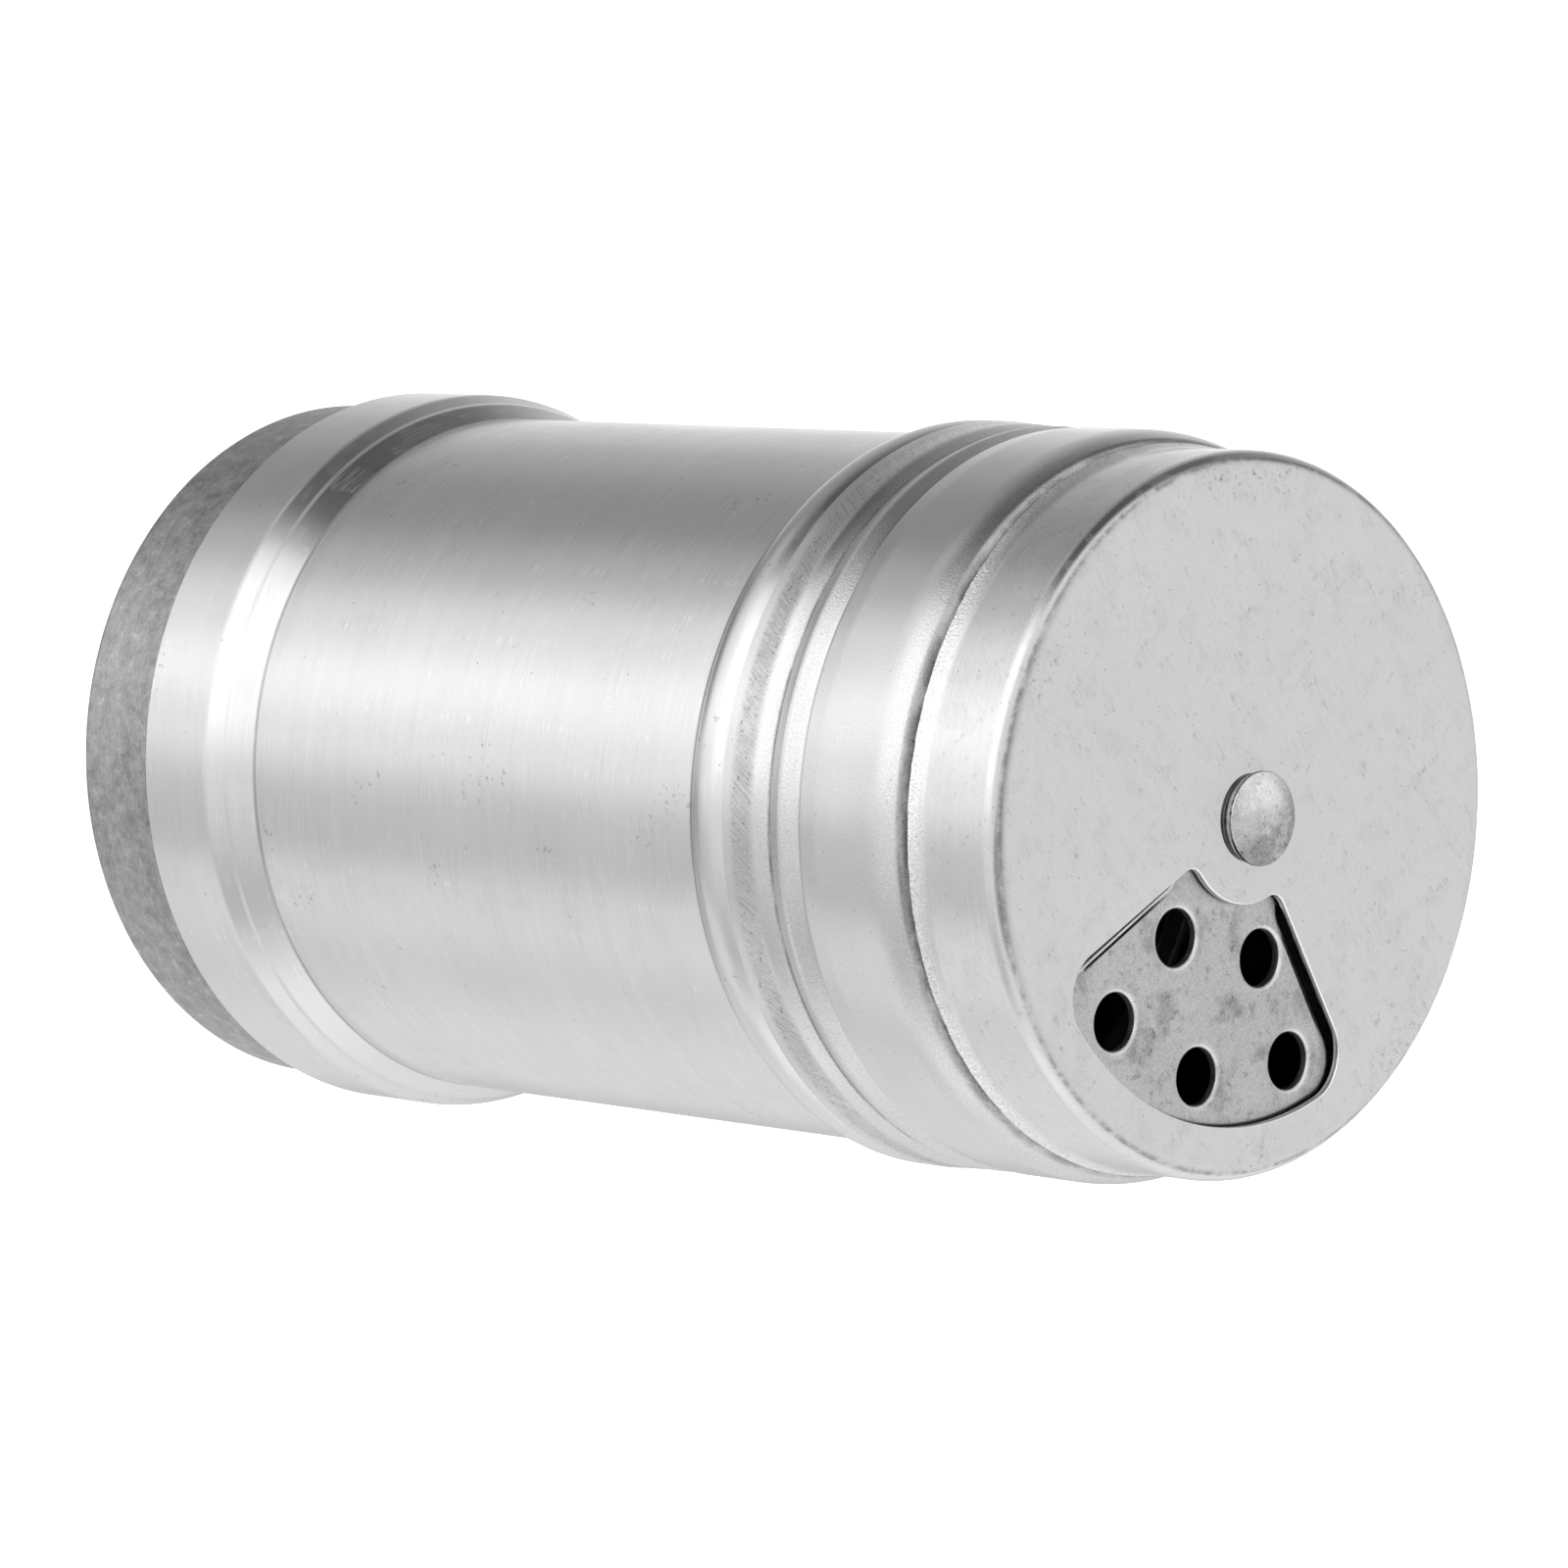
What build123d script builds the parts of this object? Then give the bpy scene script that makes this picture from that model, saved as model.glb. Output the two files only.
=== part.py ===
from build123d import *
import os

# Spice shaker in stainless-steel sheet: a tin body closed by a base cup, a push-fit lid with a
# pressed sieve plate, and a cover that turns on a central rivet to open or shut the sieve.
# Millimetres. +Z is the tin's axis, the origin is the centre of the surface it stands on, and
# the sieve holes lie towards -Y. A pair is (radius, height) on the outer face of a turned part.

os.makedirs("parts", exist_ok=True)

# ---------------------------------------------------------------- driving dimensions
TIN_SHEET = 0.4  # gauge of the body, base cup and lid
COVER_SHEET = 0.5  # gauge of the rotating cover
TUBE_R = 25.4  # outer radius of the body tube

# base cup
CUP_R = 26.0
CUP_CORNER = 0.8
CUP_RIM_Z = 15.2
PANEL_R = 18.2  # centre panel of the bottom, raised clear of the table
PANEL_LIFT = 1.0
PANEL_BEND = 0.8
STANDING_RING_R = 19.6  # inner edge of the flat ring that the tin stands on
FLARE_START_Z = 9.3  # the cup widens from here, up inside the foot
FLARE_END_Z = 10.6
FLARE_BEND = 0.6

# foot of the body, which holds the cup's flared rim
FOOT_R = 27.15
FOOT_EDGE_Z = 9.1
FOOT_TOP_Z = 15.9
FOOT_RIDGE_LOW = (26.55, 17.25)  # faint ridge round the slope that joins the foot to the tube
FOOT_RIDGE_HIGH = (26.45, 17.65)
FOOT_CREASE_Z = 19.3
FOOT_BENDS = [1.2, 0.3, 0.6, 0.8]

# top of the body
SHOULDER_CREASE_Z = 66.0  # the tube swells out from here into the shoulder
SHOULDER_BEND = 0.3
SHOULDER_START = (26.1, 67.0)
SHOULDER_CREST = (26.45, 68.3)
SHOULDER_END = (25.9, 69.9)
LEDGE_R = 25.7
LEDGE_Z = 70.05  # the lid's edge stops just above this ledge
NECK_R = 25.15
NECK_TOP_Z = 81.5
LEDGE_BENDS = [0.45, 0.5]
CURL_R = 0.9  # inward curl of the mouth
CURL_SWEEP = 230

# lid
LID_EDGE = (26.45, 70.2)
LID_SKIRT_LOW = (26.3, 71.1)
LID_SKIRT_HIGH = (26.3, 72.8)
LOWER_CREASE = (25.8, 74.15)
BEAD_CREST = (26.25, 75.45)  # narrow bead between the two creases
UPPER_CREASE = (25.7, 77.0)
BAND_LOW = (26.07, 77.2)
BAND_MIDDLE = (26.2, 78.9)
BAND_HIGH = (26.2, 84.65)
LID_STEP_OUTER = (25.55, 86.05)  # the wall steps in here, under the cover's skirt
LID_STEP_INNER_Z = 86.85
LID_NECK_R = 24.2
LID_TOP_Z = 92.5
LID_BENDS = [3.0, 1.5, 0.25, 0.8, 0.15, 0.45, 6.0, 5.0, 0.8, 0.5, 1.0]

# sieve plate pressed up out of the lid's top
SIEVE_Z = 93.8
SIEVE_DIRECTION = -90
SIEVE_TURN = -2.3
SIEVE_HALF_ANGLE = 45.4
SIEVE_R = 21.6
SIEVE_INNER_ROUND = 1.0
SIEVE_OUTER_ROUND = 3.0
HUB_R = 7.2
SIEVE_WALL_INSET = 0.35  # the pressed wall leans in by this much over its height
SIEVE_EDGE_ROUND = 0.3
HOLE_R = 2.0
HOLE_DISH_R = 2.7  # where the plate starts to bend down into a hole
HOLE_LIP_MIDDLE = (2.25, -0.1)  # from the hole's centre, at the plate's top face
HOLE_LIP_DEPTH = 0.32
HOLE_COLLAR_R = 2.35
HOLE_COLLAR_DEPTH = 0.8
COLLAR_ROOT = 0.25  # how far the collar's root spreads beyond the dish and the collar
INNER_HOLES = (10.1, (-25.5, 25.5))  # radius of the row, angles about the sieve's direction
OUTER_HOLES = (18.0, (-30.0, 0.0, 30.0))

# rotating cover
COVER_EDGE = (25.3, 86.75)
COVER_FLARE_Z = 88.1
COVER_FLARE_BEND = 1.5
COVER_R = 25.0
COVER_TOP_Z = 94.5
COVER_CORNER = 1.3
WINDOW_TURN = -2.4
WINDOW_HALF_ANGLE = 46.3
WINDOW_INNER_R = 6.0
WINDOW_OUTER_R = 21.2
WINDOW_INNER_ROUND = 1.2
WINDOW_OUTER_ROUND = 3.2
WINDOW_EDGE_ROUND = 0.15

# rivet and its washers
SHANK_R = 1.6
SHANK_CLEARANCE = 0.05
HEAD_R = 3.25
HEAD_RIM = 0.35
HEAD_DOME = 0.55
DOME_FULLNESS = 0.75  # share of the dome's height that it has halfway out
WASHER_LIFT = 0.05  # running gap between the cover and the flat washer
FLAT_WASHER_R = 3.05
FLAT_WASHER_T = 0.4
SPRING_WASHER_R = 3.1
SPRING_WASHER_SHEET = 0.28
SPRING_WASHER_H = 0.5
TAIL_WASHER_R = 3.6
TAIL_WASHER_T = 0.5
TAIL_R = 2.6
TAIL_H = 0.9
EASED_EDGE = 0.08


def fan(direction, half_angle, inner_r, outer_r, inner_round, outer_round):
    """Sector of a flat ring about the axis, with rounded corners."""
    with BuildSketch(mode=Mode.PRIVATE) as sector:
        with BuildLine():
            inner = CenterArc((0, 0), inner_r, direction - half_angle, 2 * half_angle)
            outer = CenterArc((0, 0), outer_r, direction - half_angle, 2 * half_angle)
            Line(inner @ 0, outer @ 0)
            Line(inner @ 1, outer @ 1)
        make_face()
        fillet(sector.vertices().sort_by_distance((0, 0, 0))[:2], radius=inner_round)
        fillet(sector.vertices().sort_by_distance((0, 0, 0))[-2:], radius=outer_round)
    return sector.sketch


def sieve_section(height, inset):
    """Outline of the pressed sieve plate and its hub at one height."""
    with BuildSketch(Plane.XY.offset(height), mode=Mode.PRIVATE) as section:
        add(sieve_outline)
        Circle(HUB_R)
        offset(amount=-inset)
    return section.sketch


def rim_edges(turned):
    """The two widest circles of a round piece."""
    circles = turned.edges().filter_by(GeomType.CIRCLE).filter_by(lambda edge: edge.is_closed)
    return circles.sort_by(SortBy.RADIUS)[-2:]


def hole_places():
    """Centres of the five sieve holes in plan."""
    places = []
    for row_r, angles in (INNER_HOLES, OUTER_HOLES):
        for angle in angles:
            place = Vector(row_r, 0, 0).rotate(Axis.Z, SIEVE_DIRECTION + angle)
            places.append((place.X, place.Y))
    return places


# ---------------------------------------------------------------- base cup
flare_r = FOOT_R - TIN_SHEET  # the cup's rim is pressed against the inside of the foot

with BuildPart() as base_cup:
    with BuildSketch(Plane.XZ):
        with BuildLine():
            FilletPolyline(
                (0, PANEL_LIFT),
                (PANEL_R, PANEL_LIFT),
                (STANDING_RING_R, 0),
                (CUP_R, 0),
                (CUP_R, FLARE_START_Z),
                (flare_r, FLARE_END_Z),
                (flare_r, CUP_RIM_Z),
                radius=[PANEL_BEND, PANEL_BEND, CUP_CORNER, FLARE_BEND, FLARE_BEND],
            )
            offset(amount=TIN_SHEET, side=Side.LEFT)
        make_face()
    revolve(axis=Axis.Z)
base_cup.part.label = "base_cup"
export_step(base_cup.part, "parts/base_cup.step")

# ---------------------------------------------------------------- body shell
with BuildPart() as body_shell:
    with BuildSketch(Plane.XZ):
        with BuildLine():
            FilletPolyline(
                (FOOT_R, FOOT_EDGE_Z),
                (FOOT_R, FOOT_TOP_Z),
                FOOT_RIDGE_LOW,
                FOOT_RIDGE_HIGH,
                (TUBE_R, FOOT_CREASE_Z),
                (TUBE_R, SHOULDER_CREASE_Z),
                SHOULDER_START,
                radius=[*FOOT_BENDS, SHOULDER_BEND],
            )
            ThreePointArc(SHOULDER_START, SHOULDER_CREST, SHOULDER_END)
            FilletPolyline(
                SHOULDER_END,
                (LEDGE_R, LEDGE_Z),
                (NECK_R, LEDGE_Z),
                (NECK_R, NECK_TOP_Z - CURL_R),
                radius=LEDGE_BENDS,
            )
            CenterArc((NECK_R - CURL_R, NECK_TOP_Z - CURL_R), CURL_R, 0, CURL_SWEEP)
            offset(amount=TIN_SHEET, side=Side.LEFT)
        make_face()
    revolve(axis=Axis.Z)
body_shell.part.label = "body_shell"
export_step(body_shell.part, "parts/body_shell.step")

# ---------------------------------------------------------------- lid
bore_r = SHANK_R + SHANK_CLEARANCE
lid_under_z = LID_TOP_Z - TIN_SHEET
sieve_under_z = SIEVE_Z - TIN_SHEET
sieve_outline = fan(
    SIEVE_DIRECTION + SIEVE_TURN,
    SIEVE_HALF_ANGLE,
    HUB_R / 2,
    SIEVE_R,
    SIEVE_INNER_ROUND,
    SIEVE_OUTER_ROUND,
)

with BuildPart(mode=Mode.PRIVATE) as hole_mouth:
    with BuildSketch(Plane.XZ):
        with BuildLine():
            lip = ThreePointArc((HOLE_DISH_R, 0), HOLE_LIP_MIDDLE, (HOLE_R, -HOLE_LIP_DEPTH))
            Polyline(
                lip @ 1,
                (HOLE_R, -2 * HOLE_COLLAR_DEPTH),
                (0, -2 * HOLE_COLLAR_DEPTH),
                (0, TIN_SHEET),
                (HOLE_DISH_R, TIN_SHEET),
                lip @ 0,
            )
        make_face()
    revolve(axis=Axis.Z)

with BuildPart(mode=Mode.PRIVATE) as hole_collar:
    root_r = HOLE_DISH_R + COLLAR_ROOT
    bore_side_r = HOLE_R - COLLAR_ROOT
    with BuildSketch(Plane.XZ):
        with BuildLine():
            root = ThreePointArc(
                (root_r, -TIN_SHEET),
                (HOLE_COLLAR_R + COLLAR_ROOT, -TIN_SHEET - COLLAR_ROOT / 2),
                (HOLE_COLLAR_R, -HOLE_COLLAR_DEPTH),
            )
            Polyline(
                root @ 1,
                (bore_side_r, -HOLE_COLLAR_DEPTH),
                (bore_side_r, -TIN_SHEET / 2),
                (root_r, -TIN_SHEET / 2),
                root @ 0,
            )
        make_face()
    revolve(axis=Axis.Z)

with BuildPart() as lid_shell:
    with BuildSketch(Plane.XZ):
        with BuildLine():
            FilletPolyline(
                LID_EDGE,
                LID_SKIRT_LOW,
                LID_SKIRT_HIGH,
                LOWER_CREASE,
                BEAD_CREST,
                UPPER_CREASE,
                BAND_LOW,
                BAND_MIDDLE,
                BAND_HIGH,
                LID_STEP_OUTER,
                (LID_NECK_R, LID_STEP_INNER_Z),
                (LID_NECK_R, LID_TOP_Z),
                (0, LID_TOP_Z),
                radius=LID_BENDS,
            )
            offset(amount=TIN_SHEET, side=Side.LEFT)
        make_face()
    revolve(axis=Axis.Z)
    # the sieve plate and its hub, pressed up from the top with drafted walls
    loft(sections=[sieve_section(lid_under_z, 0), sieve_section(SIEVE_Z, SIEVE_WALL_INSET)])
    fillet(lid_shell.faces().sort_by(Axis.Z)[-1].edges(), radius=SIEVE_EDGE_ROUND)
    pocket = [
        sieve_section(lid_under_z, TIN_SHEET),
        sieve_section(sieve_under_z, TIN_SHEET + SIEVE_WALL_INSET),
    ]
    loft(sections=pocket, mode=Mode.SUBTRACT)
    # five holes with drawn lips, and the rivet's bore
    with Locations(*[(x, y, SIEVE_Z) for x, y in hole_places()]):
        add(hole_collar.part)
    with Locations(*[(x, y, SIEVE_Z) for x, y in hole_places()]):
        add(hole_mouth.part, mode=Mode.SUBTRACT)
    with Locations((0, 0, SIEVE_Z)):
        Cylinder(SHANK_R, 4 * TIN_SHEET, mode=Mode.SUBTRACT)
lid_shell.part.label = "lid_shell"
export_step(lid_shell.part, "parts/lid_shell.step")

# ---------------------------------------------------------------- rotating cover
with BuildPart() as rotating_cover:
    with BuildSketch(Plane.XZ):
        with BuildLine():
            FilletPolyline(
                COVER_EDGE,
                (COVER_R, COVER_FLARE_Z),
                (COVER_R, COVER_TOP_Z),
                (bore_r, COVER_TOP_Z),
                radius=[COVER_FLARE_BEND, COVER_CORNER],
            )
            offset(amount=COVER_SHEET, side=Side.LEFT)
        make_face()
    revolve(axis=Axis.Z)
    with BuildSketch(Plane.XY.offset(COVER_TOP_Z)):
        add(
            fan(
                SIEVE_DIRECTION + WINDOW_TURN,
                WINDOW_HALF_ANGLE,
                WINDOW_INNER_R,
                WINDOW_OUTER_R,
                WINDOW_INNER_ROUND,
                WINDOW_OUTER_ROUND,
            )
        )
    extrude(amount=-COVER_SHEET, mode=Mode.SUBTRACT)
    face_edges = rotating_cover.faces().sort_by(Axis.Z)[-1].inner_wires().sort_by(SortBy.LENGTH)
    fillet(face_edges[-1].edges(), radius=WINDOW_EDGE_ROUND)
rotating_cover.part.label = "rotating_cover"
export_step(rotating_cover.part, "parts/rotating_cover.step")

# ---------------------------------------------------------------- rivet and washers
flat_washer_z = COVER_TOP_Z + WASHER_LIFT
spring_washer_z = flat_washer_z + FLAT_WASHER_T
head_z = spring_washer_z + SPRING_WASHER_H
dome_z = head_z + HEAD_RIM
tail_z = sieve_under_z - TAIL_WASHER_T

with BuildPart() as flat_washer:
    with BuildSketch(Plane.XY.offset(flat_washer_z)):
        Circle(FLAT_WASHER_R)
        Circle(bore_r, mode=Mode.SUBTRACT)
    extrude(amount=FLAT_WASHER_T)
    fillet(rim_edges(flat_washer), radius=EASED_EDGE)
flat_washer.part.label = "flat_washer"
export_step(flat_washer.part, "parts/flat_washer.step")

with BuildPart() as spring_washer:
    with BuildSketch(Plane.XZ):
        with BuildLine():
            Polyline(
                (bore_r, head_z - SPRING_WASHER_SHEET),
                (bore_r, head_z),
                (bore_r + SPRING_WASHER_SHEET, head_z),
                (SPRING_WASHER_R, spring_washer_z + SPRING_WASHER_SHEET),
                (SPRING_WASHER_R, spring_washer_z),
                (SPRING_WASHER_R - SPRING_WASHER_SHEET, spring_washer_z),
                close=True,
            )
        make_face()
    revolve(axis=Axis.Z)
spring_washer.part.label = "spring_washer"
export_step(spring_washer.part, "parts/spring_washer.step")

with BuildPart() as tail_washer:
    with BuildSketch(Plane.XY.offset(tail_z)):
        Circle(TAIL_WASHER_R)
        Circle(bore_r, mode=Mode.SUBTRACT)
    extrude(amount=TAIL_WASHER_T)
    fillet(rim_edges(tail_washer), radius=EASED_EDGE)
tail_washer.part.label = "tail_washer"
export_step(tail_washer.part, "parts/tail_washer.step")

with BuildPart() as rivet:
    with BuildSketch(Plane.XZ):
        with BuildLine():
            dome = ThreePointArc(
                (HEAD_R, dome_z),
                (HEAD_R / 2, dome_z + DOME_FULLNESS * HEAD_DOME),
                (0, dome_z + HEAD_DOME),
            )
            clinch = ThreePointArc(
                (0, tail_z - TAIL_H),
                (0.7 * TAIL_R, tail_z - 0.8 * TAIL_H),
                (TAIL_R, tail_z - 0.3 * TAIL_H),
            )
            Line(dome @ 1, clinch @ 0)
            Polyline(
                clinch @ 1,
                (TAIL_R, tail_z),
                (SHANK_R, tail_z),
                (SHANK_R, head_z),
                (HEAD_R, head_z),
                dome @ 0,
            )
        make_face()
    revolve(axis=Axis.Z)
    fillet(rim_edges(rivet), radius=EASED_EDGE)
rivet.part.label = "rivet"
export_step(rivet.part, "parts/rivet.step")
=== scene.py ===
"""The looks of a stainless-steel spice shaker: finer sheet-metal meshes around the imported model, their
materials, a white studio and the camera. Sizes are in millimetres until a mesh is made."""
import math

import bmesh
import bpy
from mathutils import Matrix, Vector, geometry, noise


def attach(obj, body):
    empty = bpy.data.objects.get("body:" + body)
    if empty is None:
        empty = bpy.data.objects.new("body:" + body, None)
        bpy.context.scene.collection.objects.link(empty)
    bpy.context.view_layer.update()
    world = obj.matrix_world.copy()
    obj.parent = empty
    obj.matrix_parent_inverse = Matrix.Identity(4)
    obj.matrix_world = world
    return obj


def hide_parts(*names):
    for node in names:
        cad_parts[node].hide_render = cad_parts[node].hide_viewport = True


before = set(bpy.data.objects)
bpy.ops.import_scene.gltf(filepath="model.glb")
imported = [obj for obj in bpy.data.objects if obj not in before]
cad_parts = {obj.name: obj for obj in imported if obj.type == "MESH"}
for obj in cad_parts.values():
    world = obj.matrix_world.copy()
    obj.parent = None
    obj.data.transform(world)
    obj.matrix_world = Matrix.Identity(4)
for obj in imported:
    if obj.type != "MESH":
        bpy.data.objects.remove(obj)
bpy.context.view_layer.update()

MM = 0.001
TURN = 2 * math.pi
SEGMENTS = 240  # around the tin
SUPPORT = 0.12  # a row this near each end of a straight run keeps its shading straight
ROW = 1.2  # longest gap between rows along a straight run

# ---------------------------------------------------------------- sizes, as in the CAD model
TIN_SHEET = 0.4
COVER_SHEET = 0.5
TUBE_R = 25.4
CUP_R = 26.0
FOOT_R = 27.15
FOOT_EDGE_Z = 9.1
FLARE_R = FOOT_R - TIN_SHEET
CUP_OUTLINE = [(0, 1.0), (18.2, 1.0), (19.6, 0), (CUP_R, 0), (CUP_R, 9.3), (FLARE_R, 10.6), (FLARE_R, 15.2)]
CUP_BENDS = [0.8, 0.8, 0.8, 0.6, 0.6]
FOOT_OUTLINE = [(FOOT_R, FOOT_EDGE_Z), (FOOT_R, 15.9), (26.55, 17.25), (26.45, 17.65), (25.37, 19.35),
                (25.36, 19.8), (TUBE_R, 20.9), (TUBE_R, 66.0), (26.1, 67.0)]
FOOT_BENDS = [1.2, 0.3, 0.6, 0.35, 0.6, 3.0, 0.3]
SHOULDER = [(26.1, 67.0), (26.45, 68.3), (25.9, 69.9)]
LEDGE = (25.7, 70.05)
NECK_R = 25.15
NECK_TOP_Z = 81.5
CURL_R = 0.9
CURL_SWEEP = 230
LID_NECK_R = 24.2
LID_TOP_Z = 92.5
LID_OUTLINE = [(26.45, 70.2), (26.3, 71.1), (26.3, 72.8), (25.8, 74.15), (26.25, 75.45), (25.7, 77.0),
               (26.07, 77.2), (26.2, 78.9), (26.2, 84.65), (25.55, 86.05), (LID_NECK_R, 86.85),
               (LID_NECK_R, LID_TOP_Z)]
LID_BENDS = [3.0, 1.5, 0.2, 0.8, 0.12, 0.45, 6.0, 5.0, 0.8, 0.5]
LID_CORNER = 1.0
LID_FLAT_R = LID_NECK_R - LID_CORNER
SIEVE_Z = 93.8
SIEVE_TURN = -2.3
SIEVE_HALF_ANGLE = 45.4
SIEVE_R = 21.6
SIEVE_ROUND = 3.0
SIEVE_WALL_INSET = 0.35
HUB_R = 7.2
HUB_FILLET = 1.6
HOLE_R = 2.0
LIP_CLEARANCE = 0.05  # kept between a hole's lip and the end of the flat plate
INNER_HOLES = (10.1, (-25.5, 25.5))
OUTER_HOLES = (18.0, (-30.0, 0.0, 30.0))
COVER_EDGE = (25.3, 86.75)
COVER_FLARE_Z = 88.1
COVER_R = 25.0
COVER_TOP_Z = 94.5
COVER_CORNER = 1.3
COVER_FLAT_R = COVER_R - COVER_CORNER
WINDOW_TURN = -2.4
WINDOW_HALF_ANGLE = 46.3
WINDOW_INNER_R = 6.0
WINDOW_OUTER_R = 21.2
WINDOW_INNER_ROUND = 1.2
WINDOW_OUTER_ROUND = 3.2
WINDOW_EDGE_ROUND = 0.15
SHANK_R = 1.6
BORE_R = 1.65
HEAD_R = 3.25
HEAD_Z = 95.45
HEAD_RIM = 0.35
HEAD_DOME = 0.55
TAIL_Z = 92.9
TAIL_R = 2.6
TAIL_H = 0.9
# inner radius, outer radius, lower face, upper face
LOW_RING = (BORE_R, 3.05, 94.55, 94.95)
TAIL_RING = (BORE_R, 3.6, 92.9, 93.4)
SPRING_OUTLINE = [(BORE_R, 95.17), (BORE_R, 95.45), (1.93, 95.45), (3.1, 95.23), (3.1, 94.95), (2.82, 94.95)]
FINE_SEGMENTS = 96  # around the rivet and the washers
BORE_SEGMENTS = 32
TOP_GRID = 1.5  # about how far apart a plate's points are
UNDER_GRID = 2.5
MERGE = 0.0005  # points nearer than this are one
CREASE_ANGLE = 38  # an edge that bends more, in degrees, is shaded sharp

# ---------------------------------------------------------------- outlines, (radius, height)
def line(start, end):
    """Rows from start to end, with one close to each end."""
    span = Vector(end) - Vector(start)
    length = span.length
    if length < 4 * SUPPORT:
        return [tuple(end)]
    count = max(1, math.ceil((length - 2 * SUPPORT) / ROW))
    inner = length - 2 * SUPPORT
    steps = [SUPPORT + inner * i / count for i in range(count + 1)] + [length]
    return [tuple(Vector(start) + span * (s / length)) for s in steps]


def sweep(centre, radius, first, last):
    """Points of an arc, from one angle to another in degrees, about every 6 degrees."""
    count = max(3, math.ceil(abs(last - first) / 6))
    angles = [math.radians(first + (last - first) * i / count) for i in range(1, count + 1)]
    return [(centre[0] + radius * math.cos(a), centre[1] + radius * math.sin(a)) for a in angles]


def arc_through(start, middle, end):
    """Points of the arc from start through middle to end."""
    (ax, ay), (bx, by), (cx, cy) = start, middle, end
    d = 2 * (ax * (by - cy) + bx * (cy - ay) + cx * (ay - by))
    a2, b2, c2 = ax * ax + ay * ay, bx * bx + by * by, cx * cx + cy * cy
    ux = (a2 * (by - cy) + b2 * (cy - ay) + c2 * (ay - by)) / d
    uy = (a2 * (cx - bx) + b2 * (ax - cx) + c2 * (bx - ax)) / d
    first = math.degrees(math.atan2(ay - uy, ax - ux))
    last = math.degrees(math.atan2(cy - uy, cx - ux))
    turns_left = (bx - ax) * (cy - ay) - (by - ay) * (cx - ax) > 0
    while turns_left and last < first:
        last += 360
    while not turns_left and last > first:
        last -= 360
    radius = math.hypot(ax - ux, ay - uy)
    count = max(8, math.ceil(abs(last - first) / 4))
    angles = [math.radians(first + (last - first) * i / count) for i in range(1, count + 1)]
    return [(ux + radius * math.cos(a), uy + radius * math.sin(a)) for a in angles]


def rounded(corners, radii):
    """A run of straight lines with each inner corner rounded. Starts after the first corner."""
    made, here = [], Vector(corners[0])
    for before, corner, after, radius in zip(corners, corners[1:], corners[2:], radii):
        corner = Vector(corner)
        back = (Vector(before) - corner).normalized()
        ahead = (Vector(after) - corner).normalized()
        half = back.angle(ahead) / 2
        reach = radius / math.tan(half)
        begin, end = corner + back * reach, corner + ahead * reach
        centre = corner + (back + ahead).normalized() * (radius / math.sin(half))
        made += line(here, begin)
        first = math.degrees(math.atan2(begin.y - centre.y, begin.x - centre.x))
        last = math.degrees(math.atan2(end.y - centre.y, end.x - centre.x))
        last += 360 * round((first - last) / 360)
        made += sweep(centre, radius, first, last)
        here = end
    return made + line(here, Vector(corners[-1]))


def inward(outline, thickness):
    """The other face of a sheet: the outline moved to the left of its direction of travel."""
    moved = []
    for i, point in enumerate(outline):
        before = Vector(outline[max(i - 1, 0)])
        after = Vector(outline[min(i + 1, len(outline) - 1)])
        along_in = (Vector(point) - before).normalized() if i else Vector((0, 0))
        along_out = (after - Vector(point)).normalized() if i < len(outline) - 1 else Vector((0, 0))
        along = (along_in + along_out).normalized()
        normal = Vector((-along.y, along.x))
        cosine = max(0.6, abs(normal.dot(Vector((-along_in.y, along_in.x)))) if i else 1.0)
        moved.append(tuple(Vector(point) + normal * (thickness / cosine)))
    return moved


def cut_edge(outer, inner, ease=0.05):
    """Two points that ease a sheet's raw edge between its two faces."""
    across = Vector(inner) - Vector(outer)
    return [tuple(Vector(outer) + across * (ease / across.length)),
            tuple(Vector(inner) - across * (ease / across.length))]


# ---------------------------------------------------------------- meshes
def make_object(name, verts, faces, body, node, material):
    """A piece with smooth faces and sharp edges, which stands for one CAD node."""
    mesh = bpy.data.meshes.new(name)
    mesh.from_pydata([tuple(c * MM for c in v) for v in verts], [], faces)
    work = bmesh.new()
    work.from_mesh(mesh)
    bmesh.ops.remove_doubles(work, verts=work.verts, dist=MERGE * MM)
    bmesh.ops.recalc_face_normals(work, faces=work.faces)
    work.to_mesh(mesh)
    work.free()
    mesh.shade_smooth()
    mesh.set_sharp_from_angle(angle=math.radians(CREASE_ANGLE))
    mesh.materials.append(material)
    piece = bpy.data.objects.new(name, mesh)
    bpy.context.scene.collection.objects.link(piece)
    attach(piece, body)
    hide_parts(node)
    return piece


def ring_points(radius, height, segments=SEGMENTS):
    return [(radius * math.cos(TURN * i / segments), radius * math.sin(TURN * i / segments), height)
            for i in range(segments)]


def turned(outline, closed, segments=SEGMENTS):
    """Vertices and faces of an outline turned about the axis. A point on the axis is a pole."""
    verts, rows = [], []
    for radius, height in outline:
        if radius < 1e-6:
            rows.append([len(verts)])
            verts.append((0.0, 0.0, height))
        else:
            rows.append(list(range(len(verts), len(verts) + segments)))
            verts += ring_points(radius, height, segments)
    pairs = list(zip(rows, rows[1:])) + ([(rows[-1], rows[0])] if closed else [])
    faces = []
    for low, high in pairs:
        if len(low) == 1 and len(high) == 1:
            continue
        for i in range(segments):
            j = (i + 1) % segments
            if len(low) == 1:
                faces.append((low[0], high[j], high[i]))
            elif len(high) == 1:
                faces.append((low[i], low[j], high[0]))
            else:
                faces.append((low[i], low[j], high[j], high[i]))
    return verts, faces


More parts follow.
